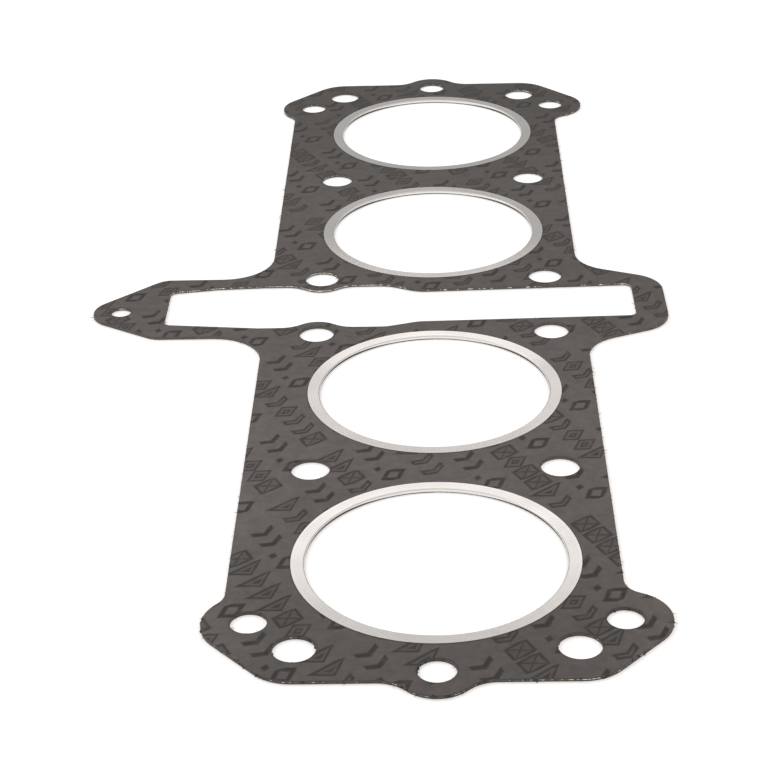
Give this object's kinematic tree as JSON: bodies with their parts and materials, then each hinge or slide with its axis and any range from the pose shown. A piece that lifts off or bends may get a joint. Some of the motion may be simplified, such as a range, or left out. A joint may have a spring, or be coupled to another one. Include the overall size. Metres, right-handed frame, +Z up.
{
  "type": "cylinder head gasket",
  "caption": "Flat fibre-faced cylinder head gasket for an in-line engine, with a steel core, folded steel bore rings, stud holes, a chain tunnel slot and a pointed ear.",
  "frame": {"origin": "centre of the stud pattern, on the middle plane of the sheet", "axes": "+Y along the row of bores, +X towards the rounded lobe and away from the pointed ear, +Z up through the sheet towards the cylinder head"},
  "size_m": [0.1849, 0.4168, 0.0014],
  "materials": {
    "facing": "dark warm grey compressed fibre sheet, matt, with a faint darker printed repeat",
    "core": "bare cold-rolled steel, seen only in the cut edges",
    "ring": "satin sheet steel with a fine concentric grain"
  },
  "bodies": {
    "root": {"lower_facing": "facing", "steel_core": "core", "upper_facing": "facing", "bore_ring_1": "ring", "bore_ring_2": "ring", "bore_ring_3": "ring", "bore_ring_4": "ring"}
  },
  "joints": []
}
